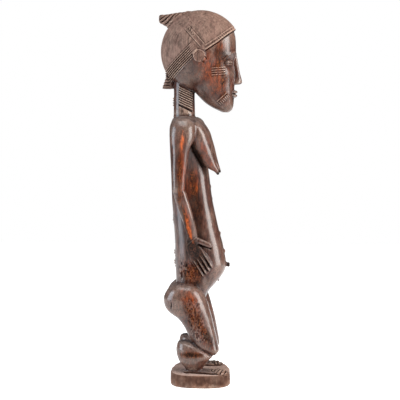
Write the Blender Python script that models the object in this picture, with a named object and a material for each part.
# A standing female figure, carved from one block of wood with its round base.
# She faces -Y, her left side is +X and Z is up. The origin is the middle of the underside.

import bpy
import bmesh
import numpy as np

# Driving dimensions, in metres.
STATURE = 0.4056            # from the top of the base to the crown
BASE_LENGTH = 0.0672        # front to back, at the foot of the base
BASE_WIDTH = 0.0770         # side to side, at the foot of the base
BASE_THICKNESS = 0.0144
BASE_TAPER = 0.0012         # how much smaller the top of the base is than its foot
BASE_FRONT = (1.15, 1.0, 0.76)      # reach of its front at her right side, middle and left side
BASE_BACK = (1.09, 1.0, 0.91)       # reach of its back in the same places
BASE_CUTS = 22              # flat adze cuts round the base

# The figure's free form is written in hundredths of her stature,
# as (forward, left, up) from the middle of the top of the base.
SHARE = STATURE / 100
CLAY = 0.18                 # spacing of the first skin over all the forms
TRIANGLES = 9700            # faces of the finished skin

# The texture colours of the dark oiled wood.
WOOD_COLOUR = (0.115, 0.072, 0.055, 1.0)
WOOD_ROUGHNESS = 0.42
SHARP_ANGLE = 0.7           # faces that meet more steeply than this show an edge


def smooth_rows(rows, steps):
    """Adds rows between the given ones, on a curve that never overshoots them."""
    rows = np.array(rows, float)
    chord = np.linalg.norm(np.diff(rows, axis=0), axis=1)[:, None]
    slope = np.diff(rows, axis=0) / chord
    before, after = slope[:-1], slope[1:]
    same = before * after > 0
    total = np.where(same, before + after, 1.0)
    middle = np.where(same, 2 * before * after / total, 0.0)
    tangent = np.vstack([slope[:1], middle, slope[-1:]])
    out = []
    for i in range(len(rows) - 1):
        for t in np.arange(steps) / steps:
            out.append(rows[i] * (1 + 2 * t) * (1 - t) ** 2
                       + rows[i + 1] * t * t * (3 - 2 * t)
                       + tangent[i] * chord[i] * t * (1 - t) ** 2
                       - tangent[i + 1] * chord[i] * t * t * (1 - t))
    return np.array(out + [rows[-1]])


def outline(sides, power):
    """A unit oval: power 2 is an ellipse, and more is squarer."""
    turn = 2 * np.pi * (np.arange(sides) + 0.5) / sides
    c, s = np.cos(turn), np.sin(turn)
    return np.sign(c) * abs(c) ** (2 / power), np.sign(s) * abs(s) ** (2 / power)


def skin(rings):
    """Closes a stack of rings into one form."""
    count, sides = rings.shape[:2]
    faces = [tuple(range(sides))[::-1], tuple(range((count - 1) * sides, count * sides))]
    for i in range(count - 1):
        for j in range(sides):
            k = (j + 1) % sides
            faces.append((i * sides + j, i * sides + k, (i + 1) * sides + k, (i + 1) * sides + j))
    return rings.reshape(-1, 3), faces


def upright(rows, power=2.2, sides=40, steps=6):
    """A form with level sections. A row is up, back, front, inner side, outer side."""
    c, s = outline(sides, power)
    rings = []
    for up, back, front, inner, outer in smooth_rows(rows, steps):
        forward = (front + back) / 2 + (front - back) / 2 * c
        left = (outer + inner) / 2 + (outer - inner) / 2 * s
        rings.append(np.stack([forward, left, np.full(sides, up)], axis=1))
    return skin(np.array(rings))


def limb(rows, power=2.0, sides=24, steps=6):
    """A form along a path. A row is forward, left, up, half depth, half width."""
    rows = smooth_rows(rows, steps)
    path = rows[:, :3]
    along = np.gradient(path, axis=0)
    along /= np.linalg.norm(along, axis=1)[:, None]
    depth = np.cross(along, (0.0, 1.0, 0.0))
    depth /= np.linalg.norm(depth, axis=1)[:, None]
    width = np.cross(depth, along)
    c, s = outline(sides, power)
    rings = (path[:, None] + depth[:, None] * (rows[:, 3, None] * c)[..., None]
             + width[:, None] * (rows[:, 4, None] * s)[..., None])
    return skin(rings)


def turned(forward, left, up, rows, sides=28, steps=3):
    """A form turned about a line that runs sideways. A row is its place along it and its radius."""
    turn = 2 * np.pi * np.arange(sides) / sides
    rings = [np.stack([forward + r * np.cos(turn), np.full(sides, left + way),
                       up + r * np.sin(turn)], axis=1) for way, r in smooth_rows(rows, steps)]
    return skin(np.array(rings))


def ball(centre, sizes, rings=24, sides=32):
    """An egg shape of the given half sizes."""
    lift = np.pi * (np.arange(rings) + 0.5) / rings
    turn = 2 * np.pi * np.arange(sides) / sides
    unit = np.stack([np.outer(np.sin(lift), np.cos(turn)), np.outer(np.sin(lift), np.sin(turn)),
                     np.outer(-np.cos(lift), np.ones(sides))], axis=2)
    return skin(unit * sizes + np.array(centre))


def mirrored(form):
    """The same form on her right side."""
    points, faces = form
    return points * (1, -1, 1), [face[::-1] for face in faces]


def torso():
    return upright([
        (17.0, -6.3, 0.6, -3.4, 3.4),
        (21.2, -6.8, 1.7, -4.6, 4.6),
        (24.0, -6.9, 3.8, -5.4, 5.4),
        (26.6, -7.0, 5.9, -5.8, 5.8),
        (28.8, -7.1, 7.0, -6.0, 6.0),
        (30.0, -7.15, 7.15, -6.05, 6.05),
        (32.5, -7.2, 6.75, -6.05, 6.05),
        (36.0, -7.25, 6.0, -5.9, 5.9),
        (39.3, -7.4, 5.05, -5.7, 5.7),
        (43.5, -7.7, 4.1, -5.45, 5.45),
        (47.8, -8.05, 3.2, -5.3, 5.3),
        (52.8, -8.2, 2.55, -5.4, 5.4),
        (57.0, -8.35, 2.0, -5.7, 5.7),
        (61.2, -8.5, 1.3, -6.4, 6.4),
        (65.2, -8.65, 1.1, -7.6, 7.6),
        (67.7, -8.6, 1.35, -8.3, 8.3),
        (69.3, -8.2, 0.9, -7.6, 7.6),
        (70.3, -7.8, 0.1, -5.9, 5.9),
        (70.9, -7.3, -1.0, -3.8, 3.8),
    ], power=2.5)


def neck():
    return upright([
        (67.0, -7.8, -1.3, -3.2, 3.2),
        (71.5, -7.6, -1.6, -3.0, 3.0),
        (76.5, -7.5, -1.7, -2.9, 2.9),
        (SKULL_CENTRE - 5.0, -7.45, -1.7, -2.9, 2.9),
    ], sides=32)


def shoulder_and_arm():
    return [
        limb([
            (-4.6, 6.0, 66.9, 3.2, 3.0),
            (-4.6, 8.2, 67.1, 3.3, 2.9),
            (-4.7, 8.9, 65.3, 2.9, 2.4),
            (-4.95, 9.2, 62.2, 2.45, 2.0),
            (-5.1, 9.3, 58.8, 2.15, 1.75),
            (-5.3, 9.35, 54.8, 1.9, 1.65),
            (-5.4, 9.35, 51.4, 1.8, 1.6),
            (-5.2, 9.3, 50.0, 1.5, 1.4),
        ], power=2.3),
        limb([
            (-5.9, 9.3, 52.2, 1.2, 1.3),
            (-5.1, 9.25, 50.4, 1.75, 1.55),
            (-4.1, 8.95, 47.0, 1.75, 1.5),
            (-2.95, 8.3, 43.3, 1.65, 1.4),
            (-2.1, 7.4, 39.8, 1.45, 1.2),
            (-1.75, 6.9, 37.6, 1.5, 1.05),
            (-1.55, 6.6, 36.2, 1.6, 0.9),
        ], power=2.4),
        ball((-4.6, 8.2, 67.3), (3.4, 2.6, 3.1)),
    ]


FINGER_TIPS = [(3.7, 29.6), (2.95, 28.65), (2.1, 27.8), (1.2, 27.2)]
FINGER_LENGTH = 4.6
FINGER_LEAN = (0.51, -0.86)     # forward and up, along a finger


def hand():
    forms = [
        limb([
            (-2.1, 6.75, 38.2, 1.5, 0.95),
            (-1.75, 6.6, 36.0, 1.9, 0.85),
            (-1.0, 6.45, 33.8, 2.2, 0.8),
            (-0.1, 6.35, 32.1, 2.3, 0.75),
            (0.6, 6.3, 30.9, 2.15, 0.6),
        ], power=2.8),
        limb([
            (-0.9, 6.5, 37.3, 0.85, 0.9),
            (0.5, 6.7, 36.65, 0.8, 0.85),
            (1.9, 6.75, 36.1, 0.75, 0.8),
            (3.0, 6.7, 35.7, 0.65, 0.7),
            (3.45, 6.65, 35.5, 0.35, 0.4),
        ], power=2.6),
    ]
    back, drop = FINGER_LEAN
    for forward, up in FINGER_TIPS:
        forms.append(limb([
            (forward - back * FINGER_LENGTH, 6.3, up - drop * FINGER_LENGTH, 0.52, 0.7),
            (forward - back * 1.2, 6.3, up - drop * 1.2, 0.52, 0.72),
            (forward - back * 0.3, 6.25, up - drop * 0.3, 0.46, 0.6),
            (forward, 6.2, up, 0.2, 0.3),
        ], power=2.4, sides=14))
    return forms


def breast():
    return [
        limb([
            (-1.0, 3.2, 67.7, 2.2, 2.4),
            (-0.1, 3.5, 64.2, 3.0, 3.0),
            (1.1, 3.8, 61.5, 2.7, 2.75),
            (2.3, 4.05, 59.2, 2.1, 2.15),
            (3.65, 4.25, 57.35, 1.25, 1.35),
            (4.6, 4.35, 56.2, 0.6, 0.65),
            (4.95, 4.4, 55.5, 0.42, 0.42),
            (5.2, 4.45, 55.1, 0.25, 0.25),
        ]),
    ]


def navel():
    return [limb([
        (5.5, 0.0, 29.9, 0.9, 0.9),
        (6.9, 0.0, 29.75, 0.75, 0.75),
        (7.5, 0.0, 29.65, 0.6, 0.6),
        (7.95, 0.0, 29.6, 0.66, 0.66),
        (8.1, 0.0, 29.6, 0.4, 0.4),
    ], sides=16)]


def scar_bosses():
    """Raised scar marks down the middle of the belly and of the back."""
    forms = []
    for up, forward in [(51.4, 2.6), (48.0, 3.0), (38.3, 5.3), (33.3, 6.6), (25.5, 5.0)]:
        forms.append(ball((forward, 0.0, up), (0.3, 0.8, 0.7), 10, 14))
    for up, forward in [(42.3, -7.5), (33.1, -7.15), (30.4, -7.15)]:
        forms.append(ball((forward, 0.0, up), (0.3, 0.9, 0.85), 10, 14))
    return forms


def thigh(knee):
    """A thigh, with its knee pushed forward by the given amount."""
    points, faces = upright([
        (25.1, -5.4, -3.4, 2.8, 5.4),
        (24.7, -7.2, -1.6, 1.6, 7.0),
        (23.8, -8.5, -0.1, 0.5, 8.2),
        (22.4, -9.5, 1.0, -0.1, 8.9),
        (20.6, -10.1, 1.85, -0.3, 9.2),
        (18.7, -9.8, 2.5, -0.2, 9.1),
        (16.9, -8.6, 3.0, 0.0, 8.8),
        (15.3, -6.3, 3.45, 0.5, 8.3),
        (13.1, -4.6, 3.95, 1.0, 7.9),
        (10.7, -3.45, 4.4, 1.3, 7.6),
        (9.0, -2.6, 4.7, 1.4, 7.5),
        (7.3, -1.3, 5.0, 1.5, 7.4),
        (6.3, 0.9, 5.1, 1.7, 7.2),
        (5.6, 2.1, 4.75, 2.2, 6.7),
        (4.8, 2.6, 3.9, 3.1, 5.8),
    ], power=2.35)
    points[:, 0] += knee * np.clip((14 - points[:, 2]) / 8, 0, 1)
    return [(points, faces)]


def calf():
    return [upright([
        (-1.5, -3.7, 0.5, 2.6, 6.4),
        (0.3, -3.75, 0.45, 2.6, 6.4),
        (1.1, -4.2, 0.9, 2.2, 6.8),
        (2.3, -5.15, 1.75, 1.4, 7.5),
        (3.4, -6.0, 2.6, 0.85, 8.0),
        (4.6, -6.4, 3.7, 0.55, 8.3),
        (5.2, -6.55, 3.4, 0.55, 8.3),
        (6.4, -6.65, 2.2, 0.7, 8.1),
        (7.6, -6.45, 0.4, 1.2, 7.6),
        (8.5, -6.1, -2.0, 2.2, 6.7),
        (8.85, -5.4, -4.0, 3.4, 5.4),
    ], power=2.1)]


# Right and left leg: how far the knee is pushed forward, and the reach of the foot.
KNEES = (0.35, 0.0)
FEET = (1.0, 0.86)
TOE_COUNT = 5
TOE_PITCH = 1.0


def foot(reach):
    """A foot and its toes. Reach is how far forward it goes, as a share of the longer one."""
    forms = [limb([
        (-4.4, 4.6, -0.2, 0.35, 1.1),
        (-3.8, 4.6, 0.0, 0.7, 1.75),
        (-1.5, 4.6, 0.05, 0.85, 1.95),
        (1.5 * reach, 4.8, 0.0, 0.8, 2.1),
        (4.0 * reach, 5.2, -0.05, 0.7, 2.4),
        (5.4 * reach, 5.3, -0.1, 0.6, 2.3),
    ], power=2.6)]
    for i in range(TOE_COUNT):
        left = 5.4 + (i - (TOE_COUNT - 1) / 2) * TOE_PITCH
        tip = 7.3 * reach - 0.12 * i * i
        forms.append(limb([
            (3.6 * reach, left - 0.1, -0.05, 0.55, 0.5),
            (tip - 1.0, left, 0.0, 0.62, 0.5),
            (tip - 0.3, left, -0.05, 0.5, 0.42),
            (tip, left, -0.1, 0.25, 0.2),
        ], power=2.3, sides=14))
    return forms


# The face stands between the hairline and the chin and is set out by the rule of thirds.
HAIRLINE = 94.7
CHIN = 72.2
THIRD = (HAIRLINE - CHIN) / 3
BROW = HAIRLINE - THIRD
NOSE_BASE = BROW - THIRD
MOUTH = NOSE_BASE - THIRD / 3
EYE = BROW - THIRD / 5
EYE_LEFT = 2.9
FACE_FRONT = 9.7

SKULL_CENTRE = 88.75
SKULL_RADIUS = 11.15
SKULL_BACK = 10.85          # how far the skull reaches back from its middle
SKULL_SIDE = 7.7


def skull():
    """A round skull, flattened in front where the face stands."""
    points, faces = ball((0.0, 0.0, SKULL_CENTRE), (SKULL_RADIUS, SKULL_SIDE, SKULL_RADIUS), 48, 64)
    front = np.interp(points[:, 2], (NOSE_BASE, BROW, HAIRLINE, HAIRLINE + 2.5),
                      (6.0, FACE_FRONT - 1.3, FACE_FRONT - 0.4, SKULL_RADIUS))
    reach = np.sqrt(SKULL_RADIUS ** 2 - (points[:, 2] - SKULL_CENTRE) ** 2)
    points[:, 0] *= np.where(points[:, 0] > 0, np.minimum(front / reach, 1),
                             SKULL_BACK / SKULL_RADIUS)
    return points, faces


def face():
    f = FACE_FRONT
    points, faces = upright([
        (CHIN - 0.1, f - 3.6, f - 2.0, -1.3, 1.3),
        (CHIN + 0.7, f - 5.4, f - 1.1, -2.4, 2.4),
        (CHIN + 2.2, f - 8.0, f - 0.65, -3.4, 3.4),
        (MOUTH, f - 10.9, f - 0.5, -4.4, 4.4),
        (NOSE_BASE, f - 13.0, f - 0.4, -5.2, 5.2),
        ((NOSE_BASE + EYE) / 2, f - 14.5, f - 0.3, -5.9, 5.9),
        (EYE, f - 15.5, f - 0.3, -6.5, 6.5),
        (BROW + 1.0, f - 16.0, f, -6.85, 6.85),
        (BROW + 4.5, f - 15.5, f - 0.05, -6.75, 6.75),
        (HAIRLINE, f - 14.0, f - 0.75, -6.0, 6.0),
        (HAIRLINE + 2.5, f - 12.0, f - 3.0, -4.4, 4.4),
    ], power=2.25, sides=72, steps=10)
    for side in (-1, 1):        # the sockets of the eyes
        near = np.exp(-((points[:, 1] - side * EYE_LEFT) / 2.0) ** 2
                      - ((points[:, 2] - EYE) / 1.7) ** 2)
        points[:, 0] -= 1.25 * near * (points[:, 0] > 2)
    return points, faces


def features():
    """Nose, lips, eyes and brows, on the front of the face."""
    f = FACE_FRONT
    forms = [
        upright([
            (BROW + 1.0, f - 2.0, f + 0.1, -0.6, 0.6),
            (EYE, f - 2.0, f + 0.6, -0.65, 0.65),
            ((EYE + NOSE_BASE) / 2, f - 2.0, f + 1.15, -0.8, 0.8),
            (NOSE_BASE + 1.3, f - 2.0, f + 1.65, -1.3, 1.3),
            (NOSE_BASE + 0.5, f - 2.0, f + 1.7, -1.55, 1.55),
            (NOSE_BASE, f - 2.0, f + 1.0, -1.3, 1.3),
        ], sides=24),
        ball((f - 0.6, 0.0, MOUTH + 0.5), (1.1, 2.0, 0.55), 16, 24),
        ball((f - 0.7, 0.0, MOUTH - 0.5), (1.1, 1.7, 0.6), 16, 24),
    ]
    for side in (-1, 1):
        forms.append(ball((f - 1.55, side * EYE_LEFT, EYE), (1.0, 1.75, 0.85), 16, 24))
        forms.append(limb([
            (f - 0.3, side * 0.5, BROW + 0.3, 0.5, 0.5),
            (f - 0.35, side * 1.7, BROW + 1.2, 0.5, 0.5),
            (f - 0.85, side * 3.2, BROW + 1.3, 0.45, 0.5),
            (f - 2.1, side * 4.7, BROW + 0.3, 0.35, 0.4),
            (f - 3.2, side * 5.4, BROW - 0.9, 0.2, 0.3),
        ], sides=12))
    return forms


EAR = (0.1, 87.4)           # forward and up


def ear():
    forward, up = EAR
    return [
        turned(forward, 6.4, up, [(0.0, 1.3), (1.2, 1.6), (1.75, 1.5), (1.9, 1.2), (1.65, 0.9),
                                  (1.5, 0.5), (1.5, 0.1)]),
        ball((forward + 0.8, 7.6, up - 1.1), (0.7, 0.6, 0.75), 12, 16),
    ]


TOPKNOT = [(-2.0, 98.1, 1.5), (-4.0, 97.95, 1.8), (-6.3, 97.5, 2.05), (-8.4, 97.3, 1.95),
           (-10.2, 97.6, 1.45), (-11.2, 97.8, 1.2), (-11.6, 97.8, 0.85)]


def hair():
    """The twisted topknot and the short braid at the nape."""
    return [
        limb([(forward, 0.0, up, r, r) for forward, up, r in TOPKNOT], sides=32),
        upright([
            (SKULL_CENTRE - 5.0, -SKULL_BACK + 1.65, -SKULL_BACK + 4.35, -1.2, 1.2),
            (SKULL_CENTRE - 6.8, -SKULL_BACK + 1.15, -SKULL_BACK + 4.05, -1.35, 1.35),
            (SKULL_CENTRE - 8.6, -SKULL_BACK + 0.55, -SKULL_BACK + 3.65, -1.55, 1.55),
            (SKULL_CENTRE - 10.3, -SKULL_BACK - 0.05, -SKULL_BACK + 3.45, -1.75, 1.75),
        ], power=3.0, sides=24),
    ]


def base():
    """The base, hewn flat on her right side and rounder on her left."""
    c, s = outline(BASE_CUTS, 2.7)
    sides = (-1, 0, 1)
    reach = np.where(s > 0, np.interp(c, sides, BASE_FRONT), np.interp(c, sides, BASE_BACK))
    sink = BASE_THICKNESS / 4
    rings = []
    for up in (-sink, 0.0, BASE_THICKNESS):
        trim = BASE_TAPER * up / BASE_THICKNESS / 2
        left = (BASE_WIDTH / 2 - trim) * c
        forward = (BASE_LENGTH / 2 - trim) * s * reach
        rings.append(np.stack([left, -forward, np.full(BASE_CUTS, up)], axis=1))
    return skin(np.array(rings))


def to_metres(form):
    """From hundredths of her stature to the part's own frame."""
    points, faces = form
    forward, left, up = points.T * SHARE
    return np.stack([left, -forward, up + BASE_THICKNESS], axis=1), faces


def all_forms():
    paired = shoulder_and_arm() + hand() + breast() + calf() + ear()
    forms = [torso(), neck(), skull(), face()] + features() + hair() + navel() + scar_bosses()
    forms += paired + thigh(KNEES[1]) + foot(FEET[1])
    forms += [mirrored(form) for form in paired + thigh(KNEES[0]) + foot(FEET[0])]
    return [to_metres(form) for form in forms] + [base()]


def one_mesh(name, forms):
    mesh = bpy.data.meshes.new(name)
    points, faces, start = [], [], 0
    for form_points, form_faces in forms:
        points.append(form_points)
        faces += [tuple(start + i for i in face) for face in form_faces]
        start += len(form_points)
    mesh.from_pydata(np.vstack(points).tolist(), [], faces)
    return mesh


def rise(distance, width):
    """0 on one side of a line and 1 on the other, with a soft step of the given width."""
    t = np.clip(distance / width + 0.5, 0, 1)
    return t * t * (3 - 2 * t)


def mound(distance, width):
    """A rounded ridge of the given width, 1 along its middle."""
    return np.clip(1 - (2 * distance / width) ** 2, 0, 1)


def along_line(forward, up, start, end):
    """How far points lie along and above a line seen from the side."""
    run, climb = end[0] - start[0], end[1] - start[1]
    length = np.hypot(run, climb)
    run, climb = run / length, climb / length
    along = (forward - start[0]) * run + (up - start[1]) * climb
    return along, (up - start[1]) * run - (forward - start[0]) * climb, length


# Forward and up along the front hairline, which rises from the ear to the middle.
FRONT_HAIRLINE = ((1.8, 5.0, 7.5, 9.4, 11.4),
                  (HAIRLINE - 5.7, HAIRLINE - 3.5, HAIRLINE - 1.5, HAIRLINE, HAIRLINE + 1.7))
NAPE_BAND = ((-8.7, 82.5), (-1.1, 89.95))     # from the nape to above the ear
NAPE_BAND_WIDTH = 2.6
SIDE_PLAIT = ((-3.3, 95.0), (0.6, 90.6))
NECK_PANEL = ((-5.8, 78.8), (-2.2, 77.1))     # top edge, rear end and front end
NECK_PANEL_HEIGHT = 4.4
NECK_ROWS = 6
NECK_COLUMNS = 5


def carve_hair(forward, left, up):
    """Hair cut higher than the skin, with its bands."""
    from_middle = np.hypot(forward, up - SKULL_CENTRE)
    head = (up > 79) * (forward > -SKULL_RADIUS - 0.1) * (from_middle < SKULL_RADIUS + 0.5)
    front = up - np.interp(forward, *FRONT_HAIRLINE)
    along, above, length = along_line(forward, up, *NAPE_BAND)
    cut = 0.2 * rise(np.where(forward > -0.3, front, above + NAPE_BAND_WIDTH / 2), 0.4)
    cut += 0.15 * mound(front - 0.7, 1.2) * (forward > 1.2)
    cut += 0.2 * rise(NAPE_BAND_WIDTH / 2 - abs(above), 0.3) * (along > -1.5) * (along < length)
    way, off, plait = along_line(forward, up, *SIDE_PLAIT)
    cut += 0.2 * mound(off, 1.4) * (way > 0) * (way < plait) * (abs(left) > 2)
    return cut * head


def carve_topknot(forward, left, up):
    """The twist of the topknot."""
    places = [-row[0] for row in TOPKNOT]
    centre = np.interp(-forward, places, [row[1] for row in TOPKNOT])
    free = rise(np.hypot(forward, up - SKULL_CENTRE) - SKULL_RADIUS - 0.6, 0.6)
    free = free * (up > 95) * (forward < -3) * rise(forward + 11.2, 0.4)
    turn = np.arctan2(left, up - centre)
    return -0.3 * free * (0.5 + 0.5 * np.cos(3 * turn - forward * 2.6)) ** 3


def carve_neck(forward, left, up):
    """Rows of small raised scars on both sides of the neck."""
    (rear, top), (front, low) = NECK_PANEL
    slope = (top - low) / (front - rear)
    row = (low + (front - forward) * slope - up) / NECK_PANEL_HEIGHT * NECK_ROWS
    column = (forward - rear) / (front - rear) * NECK_COLUMNS
    inside = (row > 0) * (row < NECK_ROWS) * (column > 0) * (column < NECK_COLUMNS)
    mark = mound(row % 1 - 0.5, 0.8) * (0.5 + 0.5 * mound(column % 1 - 0.5, 0.9))
    return 0.2 * mark * inside * (abs(left) > 0.8)


def carve_eyelids(forward, left, up):
    """The slit of each half closed eye and the line between the lips."""
    slit = mound(up - EYE + 0.2, 0.4) * (abs(abs(left) - EYE_LEFT) < 1.5)
    lips = mound(up - MOUTH, 0.35) * (abs(left) < 1.9)
    return -0.25 * (slit + lips) * (forward > 6)


def carve(mesh):
    """Moves each point of the skin out or in by the depth of the carving there."""
    count = len(mesh.vertices)
    points, normals = np.empty(count * 3), np.empty(count * 3)
    mesh.vertices.foreach_get("co", points)
    mesh.vertices.foreach_get("normal", normals)
    points, normals = points.reshape(-1, 3), normals.reshape(-1, 3)
    left, back, up = points.T / SHARE
    up = up - BASE_THICKNESS / SHARE
    cut = sum(chisel(-back, left, up) for chisel in (carve_hair, carve_topknot, carve_neck,
                                                     carve_eyelids))
    points += normals * cut[:, None] * SHARE
    mesh.vertices.foreach_set("co", points.ravel())
    mesh.update()


def evaluated(body):
    """The mesh of an object with its modifiers applied."""
    bpy.context.view_layer.update()
    depsgraph = bpy.context.evaluated_depsgraph_get()
    mesh = bpy.data.meshes.new_from_object(body.evaluated_get(depsgraph))
    body.modifiers.clear()
    body.data = mesh
    return mesh


def keep_outer_skin(bm):
    """Deletes every closed shell but the largest."""
    left = set(bm.verts)
    shells = []
    while left:
        front = [left.pop()]
        shell = list(front)
        while front:
            near = [edge.other_vert(vert) for vert in front for edge in vert.link_edges]
            front = list({vert for vert in near if vert in left})
            left.difference_update(front)
            shell += front
        shells.append(shell)
    shells.sort(key=len)
    for shell in shells[:-1]:
        bmesh.ops.delete(bm, geom=shell, context="VERTS")


def cut_underside(mesh):
    """Cuts the base off flat, so that the figure stands on a true plane."""
    bm = bmesh.new()
    bm.from_mesh(mesh)
    keep_outer_skin(bm)
    bmesh.ops.bisect_plane(bm, geom=bm.verts[:] + bm.edges[:] + bm.faces[:], dist=1e-7,
                           plane_co=(0, 0, 0), plane_no=(0, 0, -1), clear_outer=True)
    rim = [edge for edge in bm.edges if edge.is_boundary]
    bmesh.ops.contextual_create(bm, geom=rim)
    bmesh.ops.recalc_face_normals(bm, faces=bm.faces)
    bm.to_mesh(mesh)
    bm.free()


def wood():
    material = bpy.data.materials.new("dark_wood")
    material.use_nodes = True
    shader = material.node_tree.nodes["Principled BSDF"]
    shader.inputs["Base Color"].default_value = WOOD_COLOUR
    shader.inputs["Roughness"].default_value = WOOD_ROUGHNESS
    shader.inputs["Metallic"].default_value = 0.0
    return material


def figure():
    body = bpy.data.objects.new("female_figure", one_mesh("female_figure", all_forms()))
    bpy.context.scene.collection.objects.link(body)
    remesh = body.modifiers.new("one skin", "REMESH")
    remesh.mode = "VOXEL"
    remesh.voxel_size = CLAY * SHARE
    soft = body.modifiers.new("worn edges", "SMOOTH")
    soft.factor = 0.5
    soft.iterations = 4
    carve(evaluated(body))
    fewer = body.modifiers.new("fewer faces", "DECIMATE")
    fewer.ratio = TRIANGLES / sum(len(face.vertices) - 2 for face in body.data.polygons)
    cut_underside(evaluated(body))
    body.data.shade_smooth()
    body.data.set_sharp_from_angle(angle=SHARP_ANGLE)
    body.data.materials.clear()
    body.data.materials.append(wood())


for old in list(bpy.data.objects):
    bpy.data.objects.remove(old)
figure()
